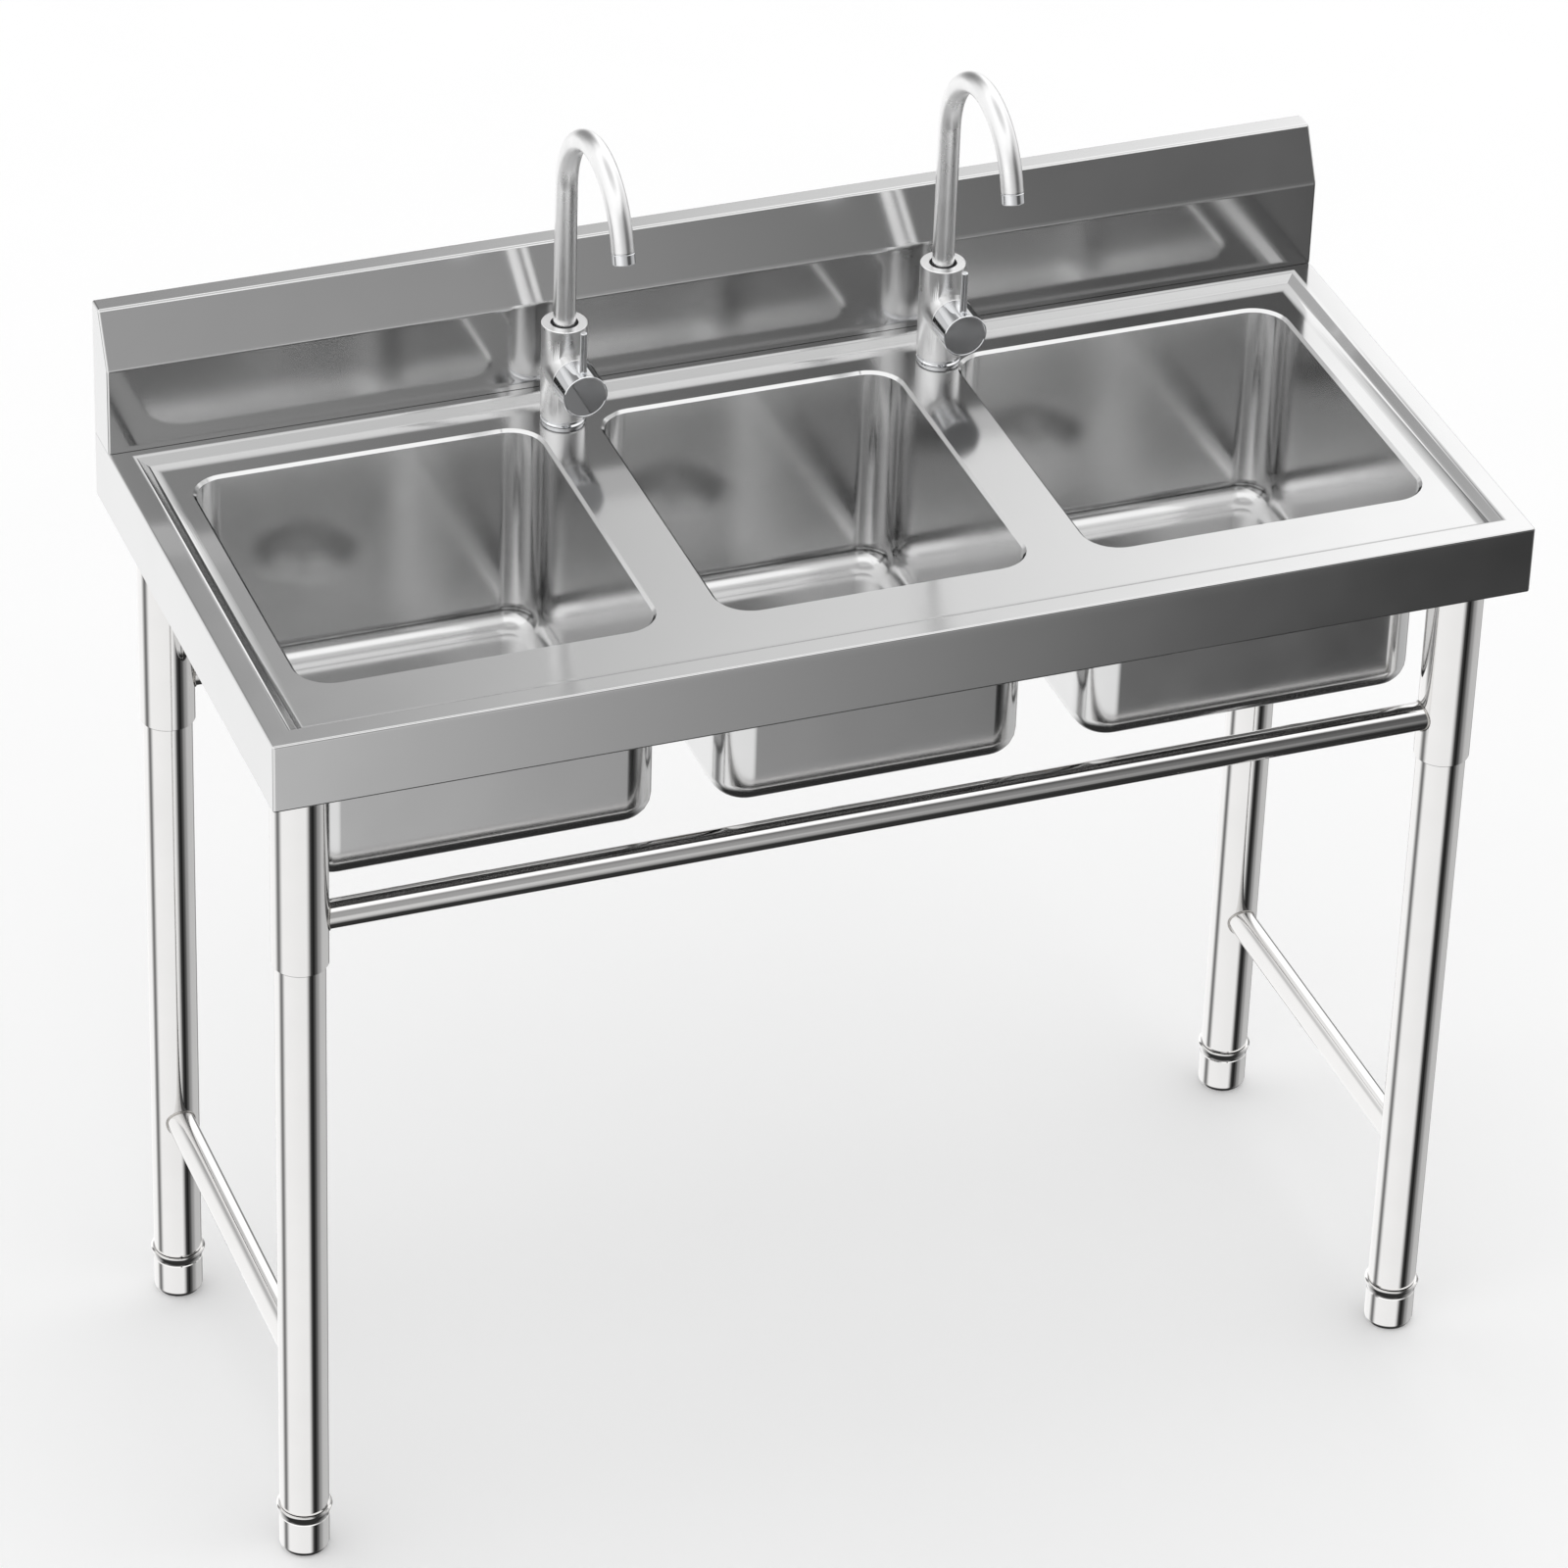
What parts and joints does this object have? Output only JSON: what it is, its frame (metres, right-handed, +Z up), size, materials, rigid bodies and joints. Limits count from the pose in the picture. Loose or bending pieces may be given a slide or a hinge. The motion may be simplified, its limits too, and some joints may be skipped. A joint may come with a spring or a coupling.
{
  "type": "three compartment sink",
  "caption": "Free-standing stainless steel sink with deep bowls side by side, a backsplash, gooseneck faucets and tubular legs on adjustable feet.",
  "frame": {"origin": "on the floor, under the middle of the sink", "axes": "+Z up; +Y towards the backsplash; the front of the sink faces -Y; +X to the right of someone at the sink"},
  "size_m": [1, 0.466, 1.0547],
  "materials": {
    "sheet_steel": "polished sheet, 1.2 mm",
    "bowl_steel": "drawn and polished, 1.0 mm",
    "tube_steel": "bright welded tube",
    "drain_steel": "pressed and polished",
    "satin_faucet": "satin",
    "chrome": "plated, mirror bright",
    "brass": "machined",
    "rubber": "matte",
    "nylon": "moulded",
    "cartridge": "moulded"
  },
  "bodies": {
    "frame": {"backsplash": "sheet_steel", "front_left_foot_insert": "tube_steel", "front_left_leg_socket": "tube_steel", "front_left_leg_tube": "tube_steel", "front_rail": "tube_steel", "front_right_foot_insert": "tube_steel", "front_right_leg_socket": "tube_steel", "front_right_leg_tube": "tube_steel", "left_bowl": "bowl_steel", "left_drain_body": "drain_steel", "left_drain_gasket": "rubber", "left_drain_locknut": "nylon", "left_faucet_base_ring": "chrome", "left_faucet_body": "satin_faucet", "left_faucet_nut": "brass", "left_faucet_shank": "brass", "left_faucet_washer": "rubber", "left_spout_seal": "rubber", "left_stretcher": "tube_steel", "left_valve_cartridge": "cartridge", "middle_bowl": "bowl_steel", "middle_drain_body": "drain_steel", "middle_drain_gasket": "rubber", "middle_drain_locknut": "nylon", "rear_left_foot_insert": "tube_steel", "rear_left_leg_socket": "tube_steel", "rear_left_leg_tube": "tube_steel", "rear_rail": "tube_steel", "rear_right_foot_insert": "tube_steel", "rear_right_leg_socket": "tube_steel", "rear_right_leg_tube": "tube_steel", "right_bowl": "bowl_steel", "right_drain_body": "drain_steel", "right_drain_gasket": "rubber", "right_drain_locknut": "nylon", "right_faucet_base_ring": "chrome", "right_faucet_body": "satin_faucet", "right_faucet_nut": "brass", "right_faucet_shank": "brass", "right_faucet_washer": "rubber", "right_spout_seal": "rubber", "right_stretcher": "tube_steel", "right_valve_cartridge": "cartridge", "worktop_deck": "sheet_steel"},
    "left_spout_body": {"left_spout": "satin_faucet", "left_aerator": "chrome"},
    "left_handle_body": {"left_handle": "satin_faucet", "left_lever": "chrome"},
    "right_spout_body": {"right_spout": "satin_faucet", "right_aerator": "chrome"},
    "right_handle_body": {"right_handle": "satin_faucet", "right_lever": "chrome"},
    "front_left_foot_body": {"front_left_adjusting_foot": "tube_steel"},
    "front_right_foot_body": {"front_right_adjusting_foot": "tube_steel"},
    "rear_left_foot_body": {"rear_left_adjusting_foot": "tube_steel"},
    "rear_right_foot_body": {"rear_right_adjusting_foot": "tube_steel"},
    "left_basket_body": {"left_strainer_basket": "drain_steel"},
    "middle_basket_body": {"middle_strainer_basket": "drain_steel"},
    "right_basket_body": {"right_strainer_basket": "drain_steel"}
  },
  "joints": [
    {"name": "left_spout_swivel", "type": "hinge", "parent": "frame", "child": "left_spout_body", "pos_m": [-0.147, 0.156, 0.9], "axis": [0, 0, 1], "continuous": true},
    {"name": "left_handle_turn", "type": "hinge", "parent": "frame", "child": "left_handle_body", "pos_m": [-0.147, 0.116, 0.8245], "axis": [0, 1, 0], "range_deg": [0, 90]},
    {"name": "right_spout_swivel", "type": "hinge", "parent": "frame", "child": "right_spout_body", "pos_m": [0.165, 0.156, 0.9], "axis": [0, 0, 1], "continuous": true},
    {"name": "right_handle_turn", "type": "hinge", "parent": "frame", "child": "right_handle_body", "pos_m": [0.165, 0.116, 0.8245], "axis": [0, 1, 0], "range_deg": [0, 90]},
    {"name": "front_left_foot_height", "type": "slide", "parent": "frame", "child": "front_left_foot_body", "axis": [0, 0, -1], "range_m": [0, 0.02]},
    {"name": "front_right_foot_height", "type": "slide", "parent": "frame", "child": "front_right_foot_body", "axis": [0, 0, -1], "range_m": [0, 0.02]},
    {"name": "rear_left_foot_height", "type": "slide", "parent": "frame", "child": "rear_left_foot_body", "axis": [0, 0, -1], "range_m": [0, 0.02]},
    {"name": "rear_right_foot_height", "type": "slide", "parent": "frame", "child": "rear_right_foot_body", "axis": [0, 0, -1], "range_m": [0, 0.02]},
    {"name": "left_basket_lift", "type": "slide", "parent": "frame", "child": "left_basket_body", "axis": [0, 0, 1], "range_m": [0, 0.25]},
    {"name": "middle_basket_lift", "type": "slide", "parent": "frame", "child": "middle_basket_body", "axis": [0, 0, 1], "range_m": [0, 0.25]},
    {"name": "right_basket_lift", "type": "slide", "parent": "frame", "child": "right_basket_body", "axis": [0, 0, 1], "range_m": [0, 0.25]}
  ]
}
